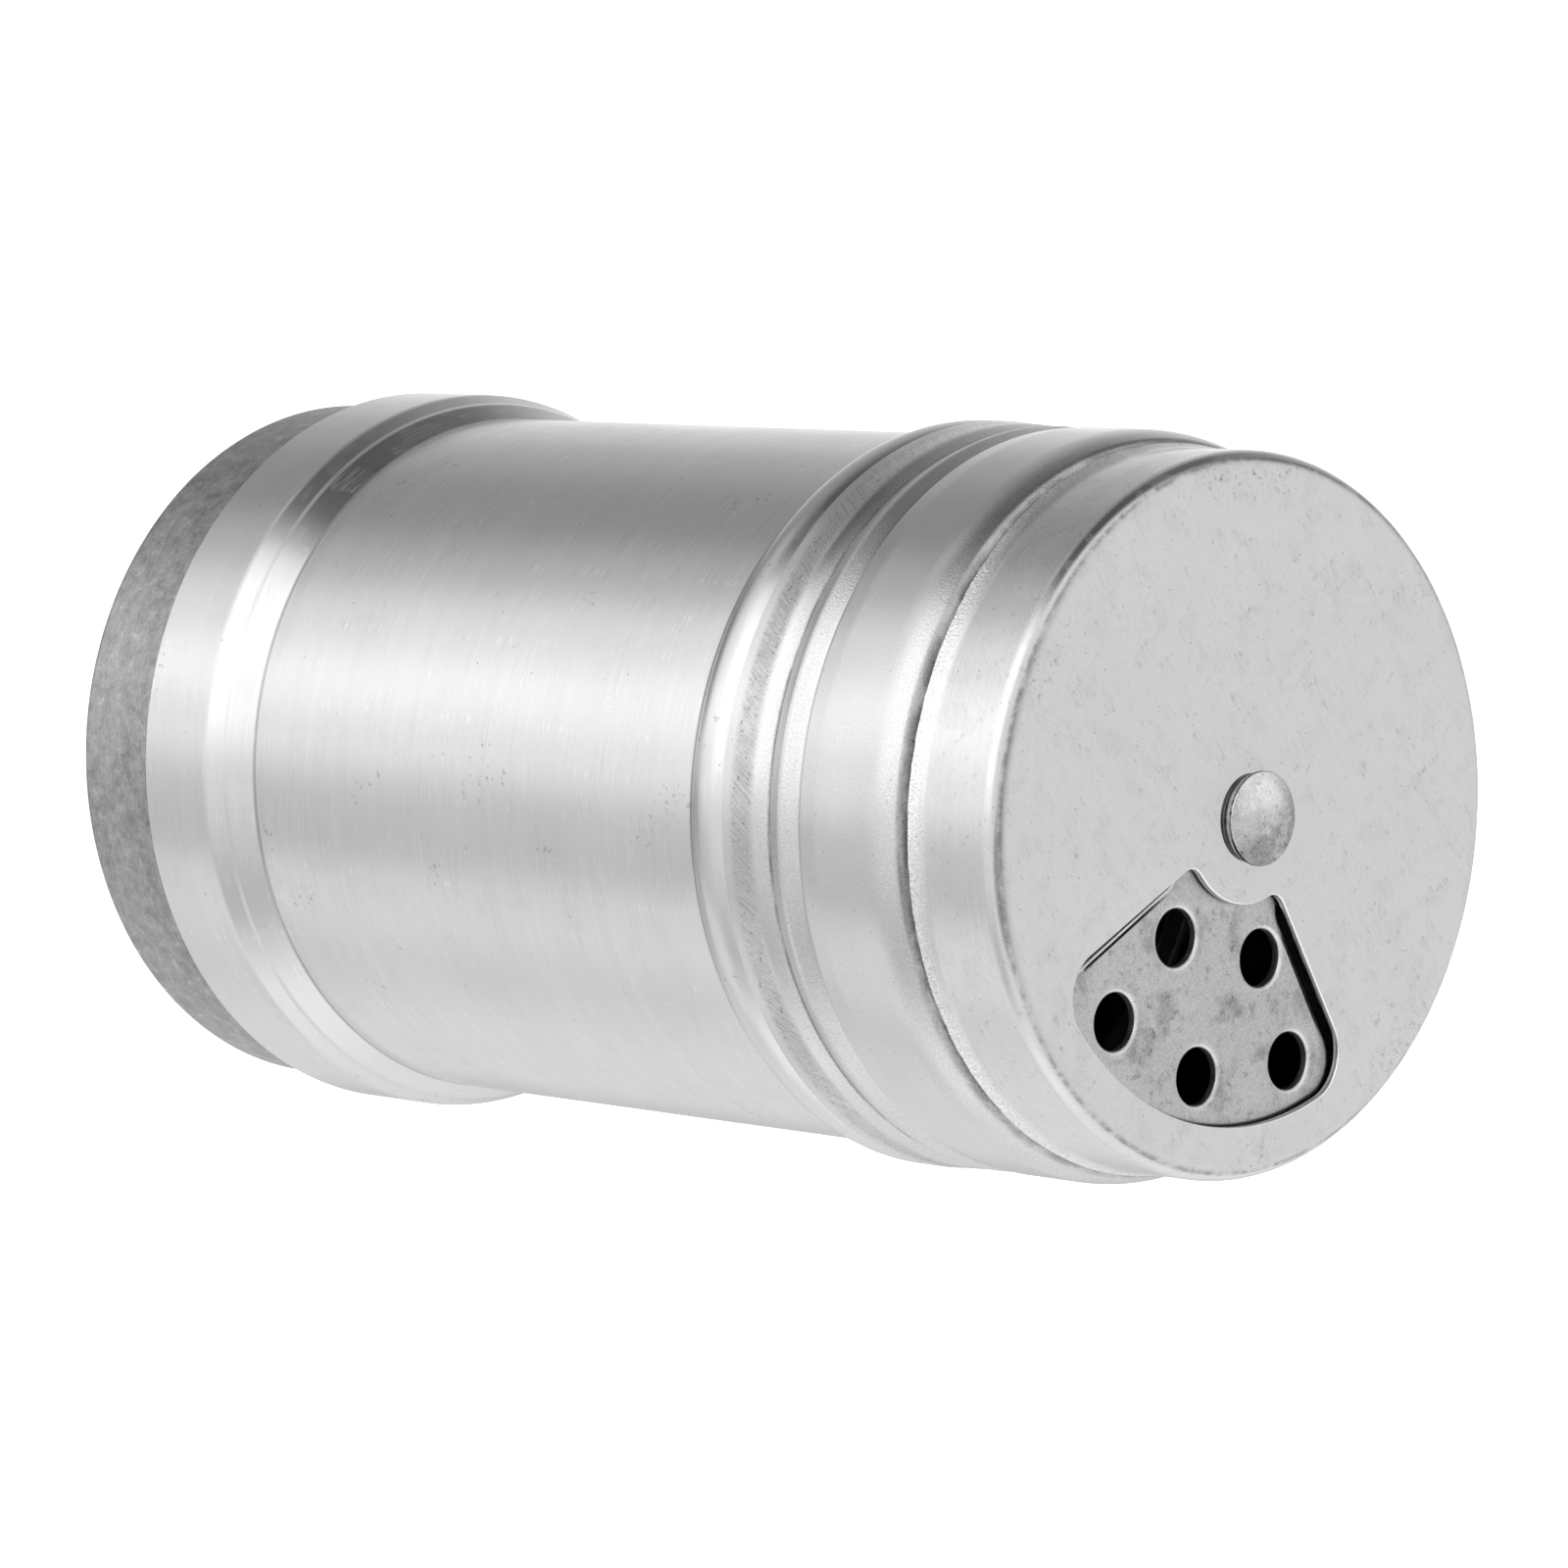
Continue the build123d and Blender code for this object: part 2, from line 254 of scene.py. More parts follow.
def uneven(verts, amount, size):
    """Moves each point in a little, by up to amount, as pressing and polishing leave a sheet."""
    moved = []
    for x, y, z in verts:
        radius = math.hypot(x, y)
        if radius < 1e-6:
            moved.append((x, y, z))
            continue
        step = amount * (noise.noise(Vector((x, y, z)) / size) - 1) / 2
        moved.append((x * (1 + step / radius), y * (1 + step / radius), z))
    return moved


def fan_outline(turn, half_angle, outer_r, corner, inner_r, fillet, offset=0.0, hub=False):
    """Closed outline of a fan about the axis that opens towards -Y, moved outward by offset.
    The inner end is a concave arc round the axis, or with hub a raised round hub."""
    half = math.radians(half_angle)
    right = []

    def add_arc(centre, radius, first, last, sign):
        count = max(4, math.ceil(abs(last - first) * radius / 0.35))
        for i in range(count + 1):
            a = first + (last - first) * i / count
            out = Vector((math.cos(a), math.sin(a)))
            right.append(Vector(centre) + out * radius + out * sign * offset)

    turn_c = half - math.asin(corner / (outer_r - corner))
    centre_c = (outer_r - corner) * Vector((math.cos(turn_c), math.sin(turn_c)))
    add_arc((0, 0), outer_r, 0, turn_c, 1)
    add_arc(centre_c, corner, turn_c, half + math.pi / 2, 1)
    if hub:
        turn_f = half + math.asin(fillet / (inner_r + fillet))
        centre_f = (inner_r + fillet) * Vector((math.cos(turn_f), math.sin(turn_f)))
        add_arc(centre_f, fillet, half - math.pi / 2, turn_f - math.pi, -1)
        add_arc((0, 0), inner_r, turn_f, math.pi, 1)
    else:
        turn_f = half - math.asin(fillet / (inner_r + fillet))
        centre_f = (inner_r + fillet) * Vector((math.cos(turn_f), math.sin(turn_f)))
        add_arc(centre_f, fillet, half + math.pi / 2, turn_f + math.pi, 1)
        add_arc((0, 0), inner_r, turn_f, 0, -1)
    loop = right + [Vector((p.x, -p.y)) for p in reversed(right)]
    aim = Matrix.Rotation(math.radians(turn - 90), 2)
    made = []
    for p in (aim @ q for q in loop):
        if not made or (p - made[-1]).length > 1e-4:
            made.append(p)
    if (made[0] - made[-1]).length < 1e-4:
        made.pop()
    return made


def circle_points(centre, radius, count):
    return [Vector((centre[0] + radius * math.cos(TURN * i / count),
                    centre[1] + radius * math.sin(TURN * i / count))) for i in range(count)]


def inside(point, loop):
    """Whether a point in plan is inside a closed loop."""
    hit = False
    for a, b in zip(loop, loop[1:] + loop[:1]):
        if (a.y > point.y) != (b.y > point.y):
            if point.x < a.x + (point.y - a.y) * (b.x - a.x) / (b.y - a.y):
                hit = not hit
    return hit


def plate(rim, openings, guides, height, grid):
    """A flat or pressed face in plan, triangulated between its rim and its openings through the guide
    loops. height gives each point's height."""
    points, edges = [], []
    for loop in [rim, *openings, *guides]:
        base = len(points)
        points += [Vector((p[0], p[1])) for p in loop]
        edges += [(base + i, base + (i + 1) % len(loop)) for i in range(len(loop))]
    reach = max(p.length for p in rim)
    fixed = list(points)
    count = int(reach / grid) + 1
    for i in range(-count, count + 1):
        for j in range(-count, count + 1):
            spot = Vector(((i + 0.5 * (j % 2)) * grid, j * grid * 0.87))
            if spot.length < reach - 0.6 * grid and min((spot - f).length for f in fixed) > 0.45 * grid:
                points.append(spot)
    verts, _, faces, *_ = geometry.delaunay_2d_cdt(points, edges, [], 0, 1e-5)
    kept = []
    for face in faces:
        middle = sum((verts[i] for i in face), Vector((0, 0))) / len(face)
        if inside(middle, rim) and not any(inside(middle, o) for o in openings):
            kept.append(tuple(face))
    return [(v.x, v.y, height(v.x, v.y)) for v in verts], kept


def joined(*parts):
    """One list of vertices and faces from several."""
    verts, faces = [], []
    for more_verts, more_faces in parts:
        base = len(verts)
        verts += more_verts
        faces += [tuple(base + i for i in f) for f in more_faces]
    return verts, faces


def wall(loops):
    """Faces between matching loops of points, for the side of an opening."""
    verts = [tuple(p) for loop in loops for p in loop]
    count = len(loops[0])
    faces = []
    for k in range(len(loops) - 1):
        for i in range(count):
            j = (i + 1) % count
            faces.append((k * count + i, k * count + j, (k + 1) * count + j, (k + 1) * count + i))
    return verts, faces


def at_height(loop, z):
    return [(p[0], p[1], z) for p in loop]


# ---------------------------------------------------------------- pieces
def sheet_loop(outer, thickness):
    """A closed outline of bent sheet, from its outer face."""
    inner = inward(outer, thickness)
    return outer + cut_edge(outer[-1], inner[-1]) + inner[::-1] + cut_edge(inner[0], outer[0])


def base_cup(material):
    outer = [CUP_OUTLINE[0]] + rounded(CUP_OUTLINE, CUP_BENDS)
    inner = inward(outer, TIN_SHEET)
    loop = outer + cut_edge(outer[-1], inner[-1]) + inner[::-1]
    verts, faces = turned(loop, closed=False)
    return make_object("base_cup_sheet", uneven(verts, 0.03, 7), faces, "body", "base_cup",
                       material)


def body_shell(material):
    outer = [FOOT_OUTLINE[0]] + rounded(FOOT_OUTLINE, FOOT_BENDS) + arc_through(*SHOULDER)
    outer += rounded([SHOULDER[-1], LEDGE, (NECK_R, LEDGE[1]), (NECK_R, NECK_TOP_Z - CURL_R)], [0.12, 0.5])
    outer += sweep((NECK_R - CURL_R, NECK_TOP_Z - CURL_R), CURL_R, 0, CURL_SWEEP)
    verts, faces = turned(sheet_loop(outer, TIN_SHEET), closed=True)
    return make_object("body_shell_sheet", uneven(verts, 0.025, 11), faces, "body",
                       "body_shell", material)


def hole_centres():
    spots = []
    for radius, angles in (INNER_HOLES, OUTER_HOLES):
        spots += [Matrix.Rotation(math.radians(a - 90), 2) @ Vector((radius, 0)) for a in angles]
    return spots


def distance(point, start, end):
    """How far a point in plan is from a straight run between two others."""
    _, share = geometry.intersect_point_line(point, start, end)
    return (start.lerp(end, min(1.0, max(0.0, share))) - point).length


def fitted(rows, centre, loop):
    """The rows of a lip, drawn in towards the bore where they would reach past a loop round it."""
    reach = max(r for r, _ in rows)
    room = min(distance(centre, a, b) for a, b in zip(loop, loop[1:] + loop[:1])) - LIP_CLEARANCE
    scale = min(1.0, (room - HOLE_R) / (reach - HOLE_R))
    return [(HOLE_R + (r - HOLE_R) * scale, z) for r, z in rows]


def hole_lip(centre, under_loop, top_loop, segments=72):
    """The drawn lip of a sieve hole as matching loops, from its root under the plate, round its lower
    edge and up the bore to where the dish meets the plate."""
    under = SIEVE_Z - TIN_SHEET
    rows = [(2.95, under), (2.6, under - 0.04), (2.42, under - 0.16), (2.35, under - 0.36),
            (2.32, under - 0.4), (HOLE_R + 0.04, under - 0.4), (HOLE_R, under - 0.36)]
    rows = fitted(rows, centre, under_loop)
    dish = [(HOLE_R, SIEVE_Z - 0.34), (2.02, SIEVE_Z - 0.26), (2.08, SIEVE_Z - 0.19),
             (2.17, SIEVE_Z - 0.135), (2.28, SIEVE_Z - 0.095), (2.42, SIEVE_Z - 0.055),
             (2.56, SIEVE_Z - 0.02), (2.68, SIEVE_Z - 0.004), (2.78, SIEVE_Z)]
    rows += fitted(dish, centre, top_loop)
    return [at_height(circle_points(centre, r, segments), z) for r, z in rows]


def lid_shell(material):
    outline = LID_OUTLINE + [(LID_FLAT_R, LID_TOP_Z)]
    outer = [LID_OUTLINE[0]] + rounded(outline, LID_BENDS + [LID_CORNER - 0.001])
    inner = inward(outer, TIN_SHEET)
    inner[-1] = (LID_FLAT_R, LID_TOP_Z - TIN_SHEET)
    side = turned(inner[::-1] + cut_edge(inner[0], outer[0]) + outer, closed=False)

    press = SIEVE_Z - LID_TOP_Z
    inset = SIEVE_WALL_INSET
    # how far out of the plate's base outline, and how much of the press height
    levels = [(0.2, 0.0), (0.08, 0.02), (0.0, 0.1), (-0.3 * inset, 0.35), (-0.62 * inset, 0.65),
              (-0.84 * inset, 0.8), (-1.05 * inset, 0.9), (-1.4 * inset, 0.97), (-2.0 * inset, 1.0)]
    under_levels = levels[:6] + [(-1.05 * inset, 1.0)]

    def raised(levels, shift, base):
        loops = [(fan_outline(SIEVE_TURN, SIEVE_HALF_ANGLE, SIEVE_R, SIEVE_ROUND, HUB_R, HUB_FILLET,
                              o + shift, hub=True), base + press * h) for o, h in levels]
        heights = {(round(p.x, 4), round(p.y, 4)): z for loop, z in loops for p in loop}

        def height(x, y):
            known = heights.get((round(x, 4), round(y, 4)))
            if known is not None:
                return known
            return base + press if inside(Vector((x, y)), loops[-1][0]) else base

        return [loop for loop, _ in loops], height

    guides, height = raised(levels, 0.0, LID_TOP_Z)
    under_guides, under_height = raised(under_levels, -TIN_SHEET, LID_TOP_Z - TIN_SHEET)
    lips = [hole_lip(c, under_guides[-1], guides[-1]) for c in hole_centres()]
    bore = circle_points((0, 0), SHANK_R, BORE_SEGMENTS)
    rim = [Vector(p[:2]) for p in ring_points(LID_FLAT_R, 0)]
    dishes = [[Vector(p[:2]) for p in lip[-1]] for lip in lips]
    roots = [[Vector(p[:2]) for p in lip[0]] for lip in lips]
    top = plate(rim, dishes + [bore], guides, height, TOP_GRID)
    under = plate(rim, roots + [bore], under_guides, under_height, UNDER_GRID)
    shaft = wall([at_height(bore, SIEVE_Z - TIN_SHEET), at_height(bore, SIEVE_Z)])
    verts, faces = joined(side, top, under, shaft, *[wall(lip) for lip in lips])
    return make_object("lid_sheet", uneven(verts, 0.02, 9), faces, "lid", "lid_shell", material)


def rotating_cover(material):
    outline = [COVER_EDGE, (COVER_R - 0.03, COVER_FLARE_Z), (COVER_R, 90.6), (COVER_R, COVER_TOP_Z),
               (COVER_FLAT_R, COVER_TOP_Z)]
    outer = [COVER_EDGE] + rounded(outline, [1.5, 3.0, COVER_CORNER - 0.001])
    inner = inward(outer, COVER_SHEET)
    inner[-1] = (COVER_FLAT_R, COVER_TOP_Z - COVER_SHEET)
    side = turned(inner[::-1] + cut_edge(inner[0], outer[0]) + outer, closed=False)

    def window(offset):
        return fan_outline(WINDOW_TURN, WINDOW_HALF_ANGLE, WINDOW_OUTER_R, WINDOW_OUTER_ROUND,
                           WINDOW_INNER_R, WINDOW_INNER_ROUND, offset)

    under_z = COVER_TOP_Z - COVER_SHEET
    ease = WINDOW_EDGE_ROUND
    edge_loops = [at_height(window(0.03), under_z), at_height(window(0.0), under_z + 0.03)]
    for a in range(0, 91, 15):
        bend = math.radians(a)
        edge_loops.append(at_height(window(ease * (1 - math.cos(bend))),
                                    COVER_TOP_Z - ease + ease * math.sin(bend)))
    bore = circle_points((0, 0), BORE_R, BORE_SEGMENTS)
    shaft = wall([at_height(bore, under_z), at_height(bore, COVER_TOP_Z)])
    rim = [Vector(p[:2]) for p in ring_points(COVER_FLAT_R, 0)]
    top = plate(rim, [window(ease), bore], [window(ease + SUPPORT)], lambda x, y: COVER_TOP_Z, TOP_GRID)
    under = plate(rim, [window(0.03), bore], [], lambda x, y: under_z, UNDER_GRID)
    verts, faces = joined(side, top, under, wall(edge_loops), shaft)
    verts = uneven(ragged(verts, COVER_EDGE[1]), 0.015, 9)
    return make_object("rotating_cover_sheet", verts, faces, "cover", "rotating_cover",
                       material)


def ragged(verts, edge):
    """Wears the sheet's lowest edge unevenly."""
    made = []
    for x, y, z in verts:
        near = max(0.0, 1 - (z - edge) / 0.15)
        made.append((x, y, z + 0.11 * near * max(0.0, 0.4 + noise.noise(Vector((x, y, z)) / 0.9))))
    return made


def rivet(material):
    rim_z = HEAD_Z + HEAD_RIM
    dome = arc_through((HEAD_R - 0.1, rim_z + 0.03), (HEAD_R / 2, rim_z + 0.76 * HEAD_DOME),
                       (0.0, rim_z + HEAD_DOME))
    tail = arc_through((0.0, TAIL_Z - TAIL_H), (0.7 * TAIL_R, TAIL_Z - 0.8 * TAIL_H),
                       (TAIL_R, TAIL_Z - 0.3 * TAIL_H))
    outline = [(0.0, TAIL_Z - TAIL_H)] + tail
    outline += [(TAIL_R, TAIL_Z), (SHANK_R, TAIL_Z), (SHANK_R, HEAD_Z), (HEAD_R - 0.08, HEAD_Z),
                (HEAD_R, HEAD_Z + 0.08), (HEAD_R, rim_z - 0.05), (HEAD_R - 0.03, rim_z)]
    outline += [(HEAD_R - 0.1, rim_z + 0.03)] + dome[:-1] + [(0.0, rim_z + HEAD_DOME)]
    verts, faces = turned(outline, closed=False, segments=FINE_SEGMENTS)
    return make_object("rivet_body", hammered(verts, rim_z), faces, "lid", "rivet", material)


def hammered(verts, above):
    """Dents a little what is above a height, as a setting tool leaves a rivet's head."""
    made = []
    for x, y, z in verts:
        if z > above:
            z -= 0.05 * max(0.0, noise.noise(Vector((x, y, z)) / 1.1) + 0.1) * min(1.0, (z - above) / 0.2)
        made.append((x, y, z))
    return made


def washer(name, outline, node, material):
    verts, faces = turned(outline, closed=True, segments=FINE_SEGMENTS)
    return make_object(name, verts, faces, "lid", node, material)


def flat_ring(inner_r, outer_r, low, high, ease=0.08):
    return [(inner_r, low), (outer_r - ease, low), (outer_r, low + ease), (outer_r, high - ease),
            (outer_r - ease, high), (inner_r, high)]


# ---------------------------------------------------------------- materials
class Nodes:
    """A node tree, with the kinds of node that most of it is made of."""

    def node(self, kind, **settings):
        made = self.tree.nodes.new(kind)
        for key, value in settings.items():
            setattr(made, key, value)
        return made

    def feed(self, socket, value):
        """Sets a socket to a number, or links another socket to it."""
        if isinstance(value, (int, float)):
            socket.default_value = value
        else:
            self.tree.links.new(value, socket)

    def math(self, operation, *values):
        made = self.node("ShaderNodeMath", operation=operation)
        for socket, value in zip(made.inputs, values):
            self.feed(socket, value)
        return made.outputs[0]

    def between(self, value, low, high, start=0.0, end=1.0):
        """Value mapped smoothly from low..high to start..end, and held there outside."""
        made = self.node("ShaderNodeMapRange", interpolation_type="SMOOTHSTEP")
        for name, number in (("From Min", low), ("From Max", high), ("To Min", start), ("To Max", end)):
            made.inputs[name].default_value = number
        self.feed(made.inputs["Value"], value)
        return made.outputs[0]

    def xyz(self, socket):
        """The three parts of a vector."""
        parts = self.node("ShaderNodeSeparateXYZ")
        self.feed(parts.inputs[0], socket)
        return parts.outputs


class Metal(Nodes):
    """A metal's node tree. Lengths given to its patterns are in millimetres."""

    def __init__(self, name, base, roughness, brushed=0.0):
        self.material = bpy.data.materials.new(name)
        self.material.use_nodes = True
        self.tree = self.material.node_tree
        self.shader = next(n for n in self.tree.nodes if n.type == "BSDF_PRINCIPLED")
        self.shader.inputs["Metallic"].default_value = 1.0
        self.shader.inputs["Base Color"].default_value = (base, base, base, 1)
        self.shader.inputs["Roughness"].default_value = roughness
        surface = self.node("ShaderNodeTexCoord").outputs
        self.place, self.facing = surface["Object"], surface["Normal"]
        if brushed:
            self.shader.inputs["Anisotropic"].default_value = brushed
            self.shader.inputs["Anisotropic Rotation"].default_value = 0.25
            lay = self.node("ShaderNodeTangent", direction_type="RADIAL", axis="Z")
            self.feed(self.shader.inputs["Tangent"], lay.outputs[0])

    def stretched(self, sizes, turn=(0, 0, 0), source=None):
        """Position in units of the pattern's size along x, y and z."""
        spun = self.node("ShaderNodeMapping")
        spun.inputs["Rotation"].default_value = [math.radians(a) for a in turn]
        self.feed(spun.inputs[0], source or self.place)
        scale = self.node("ShaderNodeVectorMath", operation="MULTIPLY")
        self.feed(scale.inputs[0], spun.outputs[0])
        scale.inputs[1].default_value = [1 / (s * MM) for s in sizes]
        return scale.outputs[0]

    def unrolled(self):
        """(way round, height, 0) of a point on the tin's side, in metres."""
        x, y, z = self.xyz(self.place)
        # measured from -X, so that the patterns' seam is at +X
        angle = self.math("ARCTAN2", self.math("MULTIPLY", y, -1.0), self.math("MULTIPLY", x, -1.0))
        flat = self.node("ShaderNodeCombineXYZ")
        self.feed(flat.inputs[0], self.math("MULTIPLY", angle, TUBE_R * MM))
        self.feed(flat.inputs[1], z)
        return flat.outputs[0]

    def noise(self, sizes, detail=2.0, turn=(0, 0, 0), source=None, grit=0.5):
        """A noise of the given sizes. Its middle is 0.5."""
        made = self.node("ShaderNodeTexNoise")
        self.feed(made.inputs["Vector"], self.stretched(sizes, turn, source))
        made.inputs["Scale"].default_value = 1.0
        made.inputs["Detail"].default_value = detail
        made.inputs["Roughness"].default_value = grit
        return made.outputs[0]

    def height(self, low, high):
        """0 below one height of the tin and 1 above the other."""
        return self.between(self.xyz(self.place)[2], low * MM, high * MM)

    def ring(self, at, half):
        """1 at one height of the tin, fading to 0 at half a width above and below."""
        return self.math("SUBTRACT", self.height(at - half, at), self.height(at, at + half))

    def eased(self, low, high):
        """1 on rounded edges that lean between flat and upright, between two heights."""
        lean = self.math("SUBTRACT", self.between(self.upward(), 0.15, 0.5),
                         self.between(self.upward(), 0.88, 0.99))
        band = self.math("SUBTRACT", self.height(low, low + 0.1), self.height(high, high + 0.1))
        return self.math("MULTIPLY", lean, band)

    def upward(self):
        """How far the surface looks up the tin's axis: 1 on its top, 0 on its sides, -1 underneath."""
        return self.xyz(self.facing)[2]

    def facing_up(self):
        """1 on faces square to the axis that look up."""
        return self.between(self.upward(), 0.85, 0.98)

    def facing_down(self):
        """1 on faces that look down, the underside of the tin."""
        return self.between(self.upward(), -0.6, -0.2, 1.0, 0.0)

    def scratches(self, length, width, share, turn=(0, 0, 0), source=None):
        """Sparse fine scratches, 1 on a scratch. share says how much of the surface has any."""
        lines = self.noise((width, length, width), 0.0, turn, source)
        mark = self.between(self.math("ABSOLUTE", self.math("SUBTRACT", lines, 0.5)), 0.0, 0.035, 1.0, 0.0)
        patch = self.noise((length * 0.5, length * 0.5, length * 0.5), 1.0, (0, 0, 31), source)
        return self.math("MULTIPLY", mark, self.between(patch, 0.62 - share, 0.68 - share))

    def specks(self, size, share):
        """Small round specks, 1 on a speck."""
        made = self.node("ShaderNodeTexVoronoi")
        self.feed(made.inputs["Vector"], self.stretched((size * 6,) * 3))
        made.inputs["Scale"].default_value = 1.0
        dot = self.between(made.outputs["Distance"], 0.03, 0.13, 1.0, 0.0)
        chance = self.node("ShaderNodeSeparateColor")
        self.feed(chance.inputs[0], made.outputs["Color"])
        return self.math("MULTIPLY", dot, self.math("LESS_THAN", chance.outputs[0], share))

    def sum(self, *terms):
        """Sum of (weight, value) pairs, each value times its weight."""
        total = None
        for weight, value in terms:
            part = self.math("MULTIPLY", value, weight)
            total = part if total is None else self.math("ADD", total, part)
        return total

    def grey(self, value):
        """Sets the base colour to a grey of varying level."""
        mix = self.node("ShaderNodeCombineColor")
        for socket in mix.inputs[:3]:
            self.feed(socket, value)
        self.feed(self.shader.inputs["Base Color"], mix.outputs[0])

    def rough(self, value):
        self.feed(self.shader.inputs["Roughness"], value)

    def bump(self, height, depth):
        """Raises the surface by height times depth, in millimetres."""
        made = self.node("ShaderNodeBump")
        made.inputs["Strength"].default_value = 1.0
        made.inputs["Distance"].default_value = depth * MM
        self.feed(made.inputs["Height"], height)
        self.feed(self.shader.inputs["Normal"], made.outputs[0])


def centred(metal, value):
    """A noise as -1..1 about its middle."""
    return metal.math("MULTIPLY_ADD", value, 2.0, -1.0)


def brushed_body():
    """Polished round the tin: fine lines along the turn, faint cloudy patches, a few knocks, and painted
    shade lines in the creases at the foot and the shoulder.
    """
    m = Metal("brushed_body", 0.66, 0.2, brushed=0.45)
    flat = m.unrolled()
    tube = m.math("SUBTRACT", m.height(18.0, 19.6), m.height(66.0, 67.0))
    strong = m.between(m.noise((9, 9, 7), 2.0, (0, 0, 20)), 0.4, 0.6, 0.3, 1.0)
    strong = m.math("MULTIPLY", strong, m.math("MULTIPLY_ADD", tube, 0.75, 0.25))
    fine = m.noise((5.0, 0.11, 1.0), 3.0, (0, 0, 5), flat, 0.62)
    lines = m.math("MULTIPLY", centred(m, fine), strong)
    broad = centred(m, m.noise((30, 30, 0.9), 2.0))
    clouds = centred(m, m.noise((9, 9, 9), 3.0))
    ticks = m.scratches(6.0, 0.12, 0.14, (0, 0, 91), flat)
    marks = m.scratches(7.0, 0.12, 0.03, (0, 0, 78), flat)
    dots = m.specks(0.14, 0.05)
    cluster = m.math("MULTIPLY", m.between(m.noise((0.5, 0.5, 0.5), 3.0), 0.6, 0.68),
                     m.between(m.noise((6, 6, 6), 1.0, (0, 0, 50)), 0.64, 0.72))
    # painted shade: dark lines along the creases at the foot and at the shoulder
    painted_shade_lines = m.math("ADD", m.ring(19.5, 0.3), m.ring(66.2, 0.45))
    m.grey(m.math("ADD", m.sum((0.11, lines), (0.03, broad), (0.04, clouds), (0.05, ticks), (-0.06, marks),
                               (-0.35, dots), (-0.22, cluster), (-0.26, painted_shade_lines)), 0.68))
    m.rough(m.math("ADD", m.sum((0.08, lines), (0.06, clouds), (-0.04, ticks), (0.1, cluster)), 0.2))
    m.bump(m.sum((0.6, lines), (0.5, ticks), (-0.5, dots)), 0.005)
    return m.material


def mill_steel():
    """Unpolished sheet as it left the mill and the press: dull, mottled, streaked along the draw, with a
    painted shadow just below the foot band's edge.
    """
    m = Metal("mill_steel", 0.36, 0.42)
    flat = m.unrolled()
    blotch = centred(m, m.noise((1.3, 1.3, 1.1), 5.0, grit=0.66))
    side = m.math("SUBTRACT", 1.0, m.facing_down())
    draw = m.math("MULTIPLY", centred(m, m.noise((0.9, 0.25, 1.0), 4.0, source=flat, grit=0.6)), side)
    grain = centred(m, m.noise((0.22, 0.22, 0.22), 2.0))
    scuffs = m.math("MULTIPLY", side, m.between(m.noise((0.8, 1.3, 1.0), 4.0, source=flat, grit=0.65),
                                                0.55, 0.7))
    upper = m.height(3.0, 7.0)
    # painted shadow: the cup darkened just below the foot band's edge
    edge = m.height(7.6, 9.2)
    m.grey(m.math("ADD", m.sum((0.24, blotch), (0.12, draw), (0.1, grain), (0.1, scuffs), (-0.04, upper),
                               (-0.16, edge)), 0.38))
    m.rough(m.math("ADD", m.sum((0.14, blotch), (0.1, grain), (-0.08, scuffs)), 0.42))
    m.bump(m.sum((0.6, draw), (0.5, grain), (0.6, blotch)), 0.012)
    return m.material


def satin_lid():
    """Satin sheet: fine grain that sparkles on the bends, scratches up the lowest band, a spotted sieve;
    painted shade lines in its creases and under the cover's edge, and painted highlights on the sieve's
    rounded edges.
    """
    m = Metal("satin_lid", 0.62, 0.19, brushed=0.3)
    flat = m.unrolled()
    grain = centred(m, m.noise((0.13, 0.13, 0.13), 2.0))
    lines = centred(m, m.noise((9, 9, 0.2), 3.0))
    clouds = centred(m, m.noise((5, 5, 5), 4.0))
    low_band = m.math("SUBTRACT", m.height(70.6, 71.2), m.height(72.4, 73.2))
    hatch = centred(m, m.noise((0.1, 4.5, 1.0), 2.0, (0, 0, 36), flat))
    up_marks = m.math("MULTIPLY", m.math("ADD", m.scratches(1.8, 0.13, 0.3, (0, 0, 24), flat),
                                         m.math("MULTIPLY", hatch, 0.9)), low_band)
    bends = m.math("ADD", m.math("SUBTRACT", m.height(73.0, 74.0), m.height(76.4, 77.1)),
                   m.height(83.9, 85.8))
    low_grain = m.math("MULTIPLY", low_band, 0.6)
    grainy = m.math("ADD", bends, low_grain)
    top = m.height(92.0, 93.0)
    spots = m.between(m.noise((0.8, 0.8, 0.8), 4.0, grit=0.65), 0.56, 0.68)
    smudge = m.between(m.noise((3.0, 3.0, 3.0), 4.0, grit=0.6), 0.5, 0.68)
    dots = m.specks(0.11, 0.2)
    patchy = m.between(m.noise((2.5, 2.5, 0.5), 4.0, grit=0.6), 0.35, 0.6, 0.35, 1.0)
    # painted shade: patchy dark lines along the lid's two creases and in the gap under the cover's lower edge
    painted_shade_lines = m.sum((1.9, m.ring(74.15, 0.22)), (0.8, m.ring(77.05, 0.3)), (2.2, m.ring(86.5, 0.8)))
    painted_shade_lines = m.math("MULTIPLY", painted_shade_lines, patchy)
    # painted highlight: the rounded edges of the sieve plate and its hole dishes made lighter
    painted_edge_highlights = m.eased(93.2, 93.9)
    m.grey(m.math("ADD", m.sum(
        (-0.2, painted_shade_lines), (0.3, painted_edge_highlights), (0.08, grain), (0.015, lines), (0.05, clouds), (-0.24, up_marks),
        (0.12, m.math("MULTIPLY", grain, grainy)),
        (-0.09, low_band), (-0.13, top), (-0.16, m.math("MULTIPLY", spots, top)),
        (-0.16, m.math("MULTIPLY", smudge, top)), (-0.3, dots)), 0.64))
    m.rough(m.math("ADD", m.sum((0.05, clouds), (0.1, grainy), (0.08, top)), 0.18))
    m.bump(m.math("ADD", m.math("MULTIPLY", grain, m.math("MULTIPLY_ADD", grainy, 0.9, 0.3)),
                  m.sum((0.3, lines), (-0.8, up_marks))), 0.006)
    return m.material


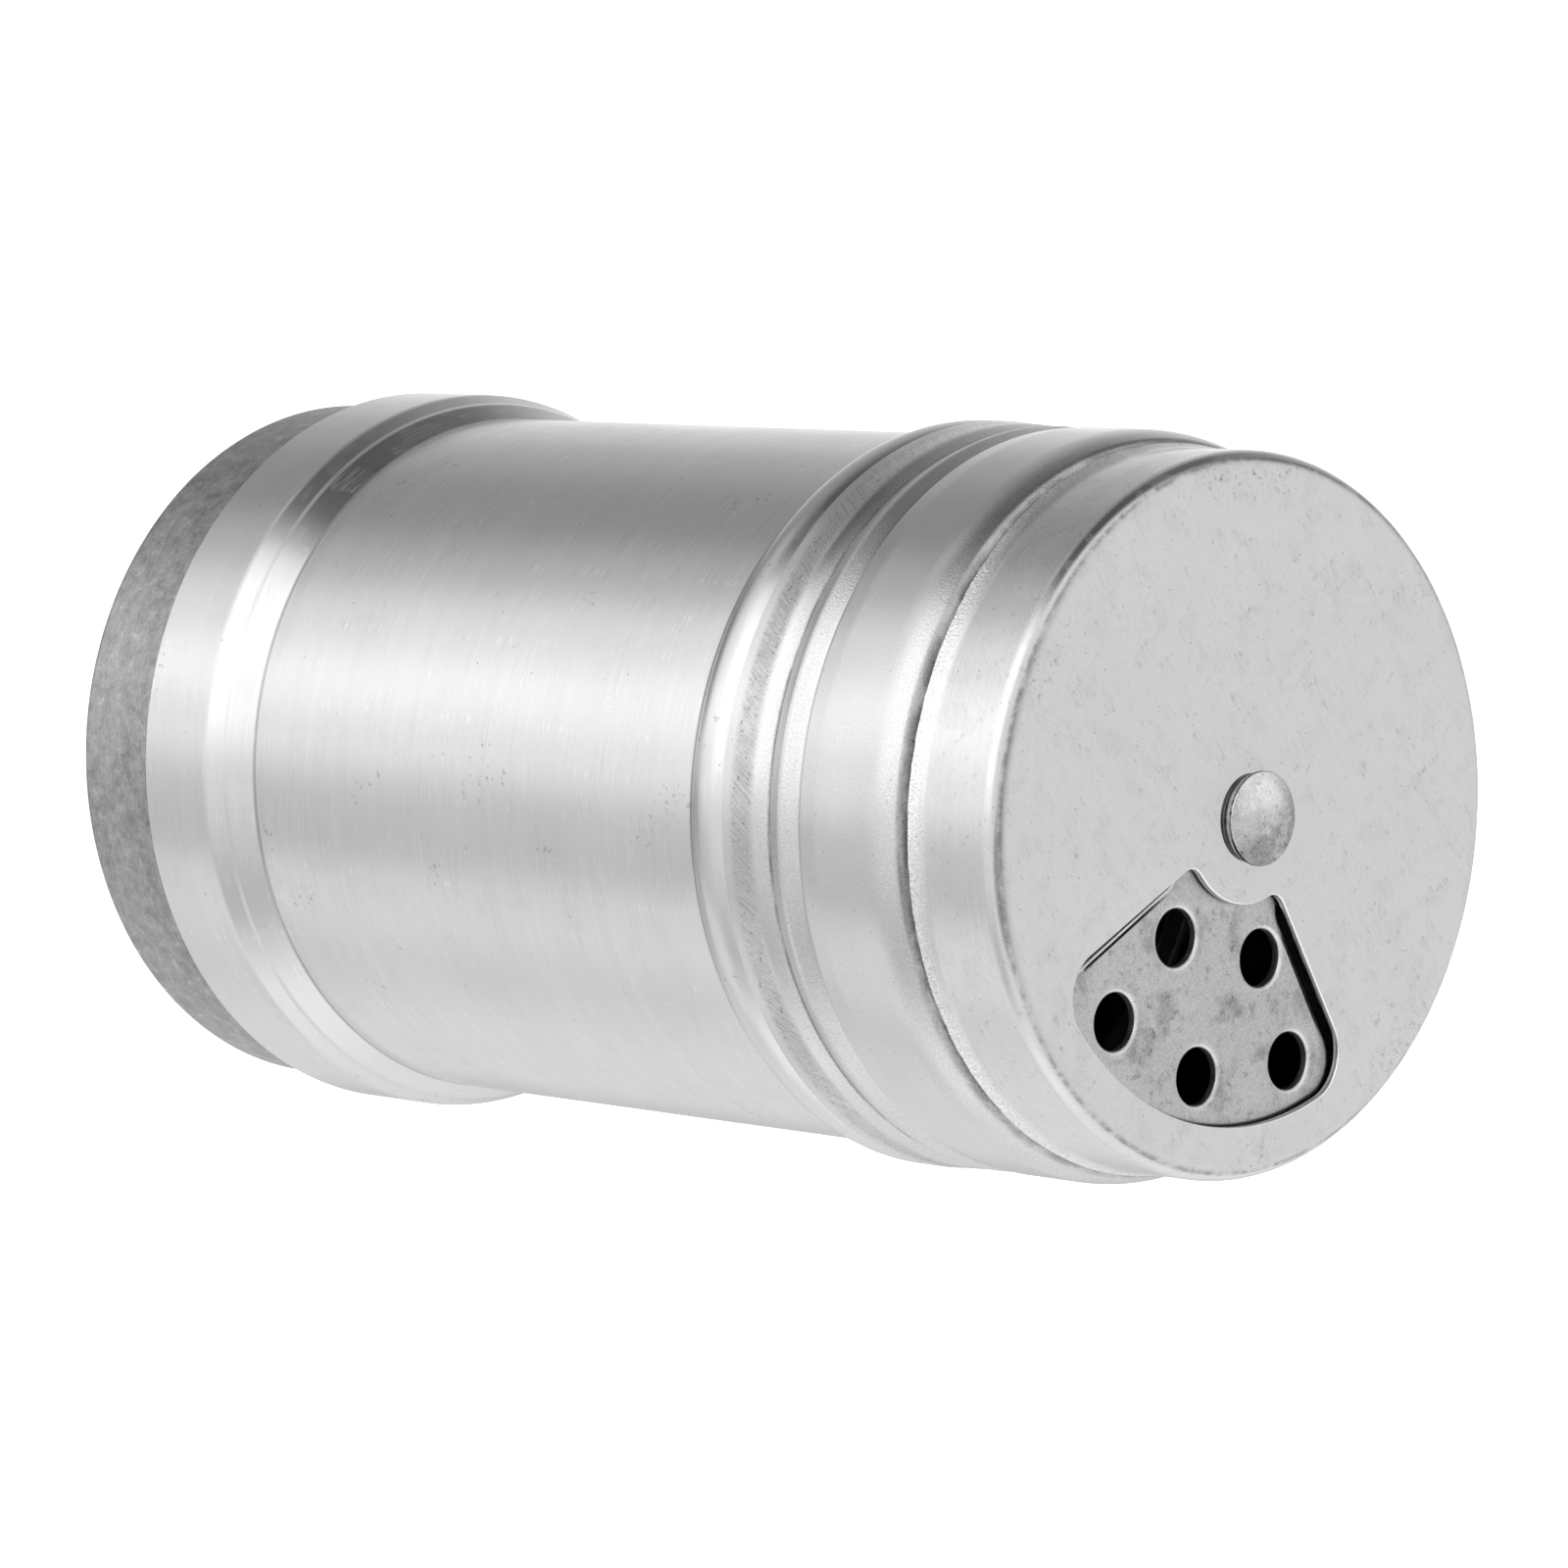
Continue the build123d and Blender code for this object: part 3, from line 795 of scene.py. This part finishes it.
def satin_cover():
    """Satin sheet with a fine lay, hairline scratches and specks; a rough silvery burr at its lower edge;
    painted highlights on the window's rounded edge and a painted shade line near the top of its rounded
    corner.
    """
    m = Metal("satin_cover", 0.65, 0.2)
    flat = m.unrolled()
    face = m.facing_up()
    grain = centred(m, m.noise((0.16, 0.16, 0.16), 2.0))
    lay = centred(m, m.noise((0.22, 3.2, 0.22), 3.0, (0, 0, -49), grit=0.6))
    lines = centred(m, m.noise((8, 8, 0.16), 3.0))
    clouds = centred(m, m.noise((7, 7, 7), 4.0))
    hair = m.scratches(4.0, 0.1, 0.08, (0, 0, -46))
    more_hair = m.scratches(2.4, 0.1, 0.07, (0, 0, -61))
    ticks = m.scratches(0.9, 0.12, 0.08, (0, 0, -38))
    side_marks = m.scratches(3.0, 0.13, 0.2, (0, 0, 48), flat)
    dots = m.specks(0.12, 0.2)
    burr = m.math("SUBTRACT", 1.0, m.height(86.9, 88.3))
    out = m.node("ShaderNodeVectorMath", operation="LENGTH")
    level = m.node("ShaderNodeVectorMath", operation="MULTIPLY")
    level.inputs[1].default_value = (1, 1, 0)
    m.feed(level.inputs[0], m.place)
    m.feed(out.inputs[0], level.outputs[0])
    near_rim = m.math("MULTIPLY", m.between(out.outputs["Value"], 21.2 * MM, 23.0 * MM), face)
    worn = m.between(m.noise((9, 9, 9), 1.0, (0, 0, 77)), 0.55, 0.66)
    scuff = m.math("MULTIPLY", m.math("MULTIPLY", m.between(
        m.noise((0.5, 0.5, 0.5), 5.0, grit=0.75), 0.53, 0.66), near_rim), worn)
    on_face = m.sum((0.025, lay), (-0.16, hair), (-0.12, more_hair), (-0.1, ticks))
    # painted highlight: the window's rounded top edge made lighter, within 22 mm of the axis
    within = m.math("LESS_THAN", out.outputs["Value"], 22 * MM)
    painted_window_highlights = m.math("MULTIPLY", m.eased(94.0, 94.6), within)
    # painted shade: a patchy dark line round the cover 94.3 mm high, near the top of its rounded corner
    patchy = m.between(m.noise((1.2, 1.2, 1.2), 4.0, grit=0.65), 0.35, 0.62, 0.25, 1.0)
    painted_shade_lines = m.math("MULTIPLY", m.ring(94.3, 0.17), patchy)
    on_side = m.sum((0.05, lines), (-0.1, side_marks))
    m.grey(m.math("ADD", m.sum(
        (1.0, m.math("MULTIPLY", on_face, face)),
        (1.0, m.math("MULTIPLY", on_side, m.math("SUBTRACT", 1.0, face))),
        (0.04, grain), (0.03, clouds), (-0.35, dots), (-0.3, scuff), (-0.36, painted_shade_lines), (0.3, painted_window_highlights),
        (0.42, m.math("MULTIPLY", burr, grain)), (0.1, burr)), 0.69))
    m.rough(m.math("ADD", m.sum((0.03, clouds), (0.02, grain), (0.2, burr), (0.24, face)), 0.18))
    m.bump(m.math("ADD", m.sum((0.12, grain), (2.2, m.math("MULTIPLY", grain, burr)),
                               (0.12, m.math("MULTIPLY", lay, face))),
                  m.sum((-0.35, hair), (-0.3, dots))), 0.008)
    return m.material


def rivet_steel():
    """A rivet head set with a tool: cloudy, with worn light patches and dark pits; painted highlights on one
    half of its dome and in a line round its side, and painted shade on its upright sides.
    """
    m = Metal("rivet_steel", 0.5, 0.3)
    clouds = m.noise((1.6, 1.6, 1.6), 5.0, grit=0.6)
    worn = m.between(m.noise((1.9, 1.9, 1.9), 3.0, (0, 0, 40)), 0.54, 0.62)
    grain = centred(m, m.noise((0.2, 0.2, 0.2), 2.0))
    pits = m.between(m.noise((0.35, 0.35, 0.35), 3.0), 0.6, 0.7)
    x, y, _ = m.xyz(m.facing)
    # painted highlight: the half of the dome that looks towards -X and +Y made lighter
    painted_lit_side = m.between(m.math("SUBTRACT", y, x), -0.25, 0.3)
    # painted shade: faces that look sideways, the head's upright side, made darker
    rim = m.between(m.upward(), 0.2, 0.7, 1.0, 0.0)
    # painted highlight: a bright line round the head's side, 95.53 mm high
    m.grey(m.math("ADD", m.sum((0.45, clouds), (0.12, worn), (0.14, grain), (-0.2, pits), (0.42, painted_lit_side),
                               (-0.5, rim), (0.5, m.ring(95.53, 0.07))), 0.08))
    m.rough(m.math("ADD", m.sum((0.24, clouds), (-0.05, worn)), 0.16))
    m.bump(m.sum((0.5, clouds), (0.3, grain), (-0.5, pits)), 0.03)
    return m.material


def washer_steel():
    """Very dark steel with streaks round its edge, and painted highlight lines round its edges."""
    m = Metal("washer_steel", 0.4, 0.36)
    lines = m.noise((2.5, 2.5, 0.09), 3.0)
    clouds = m.noise((0.7, 0.7, 0.7), 3.0)
    # painted highlights: bright lines round the washers' edges at two heights
    edges = m.math("ADD", m.ring(94.93, 0.07), m.ring(95.25, 0.06))
    m.grey(m.math("ADD", m.sum((0.3, lines), (0.2, clouds), (0.65, m.math("MULTIPLY", edges, clouds))),
                  -0.17))
    m.rough(m.math("ADD", m.math("MULTIPLY", clouds, 0.3), 0.2))
    m.bump(lines, 0.02)
    return m.material


# ---------------------------------------------------------------- studio
def floor():
    mesh = bpy.data.meshes.new("studio_floor")
    half = 3.0
    mesh.from_pydata([(-half, -half, 0), (half, -half, 0), (half, half, 0), (-half, half, 0)], [],
                     [(0, 1, 2, 3)])
    sheet = bpy.data.objects.new("studio_floor", mesh)
    bpy.context.scene.collection.objects.link(sheet)
    material = bpy.data.materials.new("white_floor")
    material.use_nodes = True
    shader = next(n for n in material.node_tree.nodes if n.type == "BSDF_PRINCIPLED")
    shader.inputs["Base Color"].default_value = (0.9, 0.9, 0.9, 1)
    shader.inputs["Roughness"].default_value = 0.9
    shader.inputs["Specular IOR Level"].default_value = 0.0
    shader.inputs["Emission Color"].default_value = (1, 1, 1, 1)
    shader.inputs["Emission Strength"].default_value = 1.0
    # nothing is hidden by the floor when the tin is looked at from below
    tree = material.node_tree
    choice = tree.nodes.new("ShaderNodeMixShader")
    tree.links.new(tree.nodes.new("ShaderNodeNewGeometry").outputs["Backfacing"], choice.inputs[0])
    tree.links.new(shader.outputs[0], choice.inputs[1])
    tree.links.new(tree.nodes.new("ShaderNodeBsdfTransparent").outputs[0], choice.inputs[2])
    out = next(n for n in tree.nodes if n.type == "OUTPUT_MATERIAL")
    tree.links.new(choice.outputs[0], out.inputs["Surface"])
    mesh.materials.append(material)
    # the metal mirrors the studio all round, not the sheet it stands on
    sheet.visible_glossy = False
    sheet.visible_shadow = False
    sheet.visible_diffuse = False


CAMERA_AZIMUTH = 186.4  # direction from the tin to the camera, about +Z from +X
CAMERA_ELEVATION = 45.5
CAMERA_ROLL = 5.0  # how far the tin's axis dips below level in the view
CAMERA_DISTANCE = 464.0
CAMERA_LENS = 156.4
CAMERA_AIM = (-22.3, -3.0, 72.1)


def camera():
    a, e = math.radians(CAMERA_AZIMUTH), math.radians(CAMERA_ELEVATION)
    back = Vector((math.cos(a) * math.cos(e), math.sin(a) * math.cos(e), math.sin(e)))
    axis = (Vector((0, 0, 1)) - back * back.z).normalized()
    across = back.cross(axis)
    roll = math.radians(CAMERA_ROLL)
    right = axis * math.cos(roll) + across * math.sin(roll)
    up = across * math.cos(roll) - axis * math.sin(roll)
    data = bpy.data.cameras.new("camera")
    data.sensor_width = 36
    data.lens = CAMERA_LENS
    data.clip_start, data.clip_end = 0.01, 20
    eye = bpy.data.objects.new("camera", data)
    bpy.context.scene.collection.objects.link(eye)
    place = Matrix((right, up, back)).transposed().to_4x4()
    place.translation = (Vector(CAMERA_AIM) + back * CAMERA_DISTANCE) * MM
    eye.matrix_world = place
    bpy.context.scene.camera = eye


# Levels of the studio's soft panels by direction round the axis, in degrees from the camera's side:
# seen in upright sides (low) and in edges that lean back (high).
LOW_PANELS = [(-180, 0.9), (-168, 1.15), (-150, 0.8), (-120, 0.5), (-100, 0.36), (-84, 0.36), (-64, 0.62),
              (-42, 1.08), (-20, 1.42), (0, 1.15), (22, 0.76), (34, 0.72), (50, 0.95), (62, 0.97), (80, 0.86),
              (110, 0.95), (135, 0.9), (165, 0.6), (180, 0.9)]
HIGH_PANELS = [(-180, 0.9), (-150, 0.5), (-115, 0.15), (-80, 0.1), (-66, 0.15), (-57, 0.45), (-48, 1.2),
               (-38, 1.6), (-22, 1.65), (-5, 1.55), (12, 0.95), (47, 0.66), (80, 1.2), (110, 1.05),
               (150, 1.0), (180, 0.9)]
ROOF_LEVEL = 0.95
# direction from the camera's side and elevation, where it is dark and where it has faded out, all in
# degrees, and the level there
DARK_FRONTS = [(33, 51, 8, 20, 0.42), (180, 86, 8, 26, 0.5)]


class Sky(Nodes):
    """The world's node tree."""

    def __init__(self):
        world = bpy.data.worlds.new("studio")
        bpy.context.scene.world = world
        world.use_nodes = True
        self.tree = world.node_tree
        self.tree.nodes.clear()

    def rising(self, z, low, high, start=0.0, end=1.0):
        """Blend by elevation, between two elevations in degrees."""
        return self.between(z, math.sin(math.radians(low)), math.sin(math.radians(high)), start, end)

    def panels(self, share, levels):
        """Levels round the axis, by half their value so that none is cut off."""
        ramp = self.node("ShaderNodeValToRGB")
        self.feed(ramp.inputs["Fac"], share)
        ramp.color_ramp.interpolation = "EASE"
        elements = ramp.color_ramp.elements
        elements.remove(elements[-1])
        for i, (degrees, level) in enumerate(levels):
            stop = elements[0] if i == 0 else elements.new((degrees + 180) / 360)
            stop.position = (degrees + 180) / 360
            stop.color = (level / 2, level / 2, level / 2, 1)
        return ramp.outputs["Color"]

    def blend(self, factor, a, b):
        made = self.node("ShaderNodeMix")
        for socket, value in zip((made.inputs[0], made.inputs[2], made.inputs[3]), (factor, a, b)):
            self.feed(socket, value)
        return made.outputs[0]


def studio():
    """A white studio with soft lighter and darker panels. The camera itself sees plain white."""
    sky = Sky()
    turn = sky.node("ShaderNodeVectorRotate", rotation_type="Z_AXIS")
    turn.inputs["Angle"].default_value = -math.radians(CAMERA_AZIMUTH)
    sky.feed(turn.inputs["Vector"], sky.node("ShaderNodeTexCoord").outputs["Generated"])
    x, y, z = sky.xyz(turn.outputs["Vector"])
    share = sky.math("MULTIPLY_ADD", sky.math("ARCTAN2", y, x), 1 / TURN, 0.5)
    low, high = sky.panels(share, LOW_PANELS), sky.panels(share, HIGH_PANELS)
    sides = sky.blend(sky.rising(z, -34, -8), low, high)
    # darker under the tin, where the bench is out of the light
    under = sky.math("MULTIPLY", sky.rising(z, -76, -60, 0.66, 1.0), sky.rising(z, -58, -46, 0.92, 1.0))
    sides = sky.math("MULTIPLY", sides, under)
    level = sky.blend(sky.rising(z, 12, 34), sides, ROOF_LEVEL / 2)
    # the dark fronts of whatever looks at the tin
    for azimuth, elevation, inner, outer, dim in DARK_FRONTS:
        a, e = math.radians(azimuth), math.radians(elevation)
        aim = (math.cos(a) * math.cos(e), math.sin(a) * math.cos(e), math.sin(e))
        near = sky.math("MULTIPLY", x, aim[0])
        near = sky.math("MULTIPLY_ADD", y, aim[1], near)
        near = sky.math("MULTIPLY_ADD", z, aim[2], near)
        level = sky.math("MULTIPLY", level, sky.between(near, math.cos(math.radians(outer)),
                                                        math.cos(math.radians(inner)), 1.0, dim))
    lit = sky.node("ShaderNodeBackground")
    lit.inputs["Strength"].default_value = 2.0
    sky.feed(lit.inputs["Color"], level)
    plain = sky.node("ShaderNodeBackground")
    plain.inputs["Color"].default_value = (1, 1, 1, 1)
    choice = sky.node("ShaderNodeMixShader")
    sky.feed(choice.inputs[0], sky.node("ShaderNodeLightPath").outputs["Is Camera Ray"])
    sky.feed(choice.inputs[1], lit.outputs[0])
    sky.feed(choice.inputs[2], plain.outputs[0])
    out = sky.node("ShaderNodeOutputWorld")
    sky.feed(out.inputs["Surface"], choice.outputs[0])
    bpy.context.scene.view_settings.view_transform = "Standard"


camera()
studio()
floor()
base_cup(mill_steel())
body_shell(brushed_body())
lid_shell(satin_lid())
rotating_cover(satin_cover())
head = rivet(rivet_steel())
dark_steel = washer_steel()
low_ring = washer("flat_washer_ring", flat_ring(*LOW_RING), "flat_washer", dark_steel)
high_ring = washer("spring_washer_ring", SPRING_OUTLINE, "spring_washer", dark_steel)
for piece in (head, low_ring, high_ring):
    piece.visible_glossy = False  # the photo shows no image of them in the cover's face
washer("tail_washer_ring", flat_ring(*TAIL_RING), "tail_washer", dark_steel)
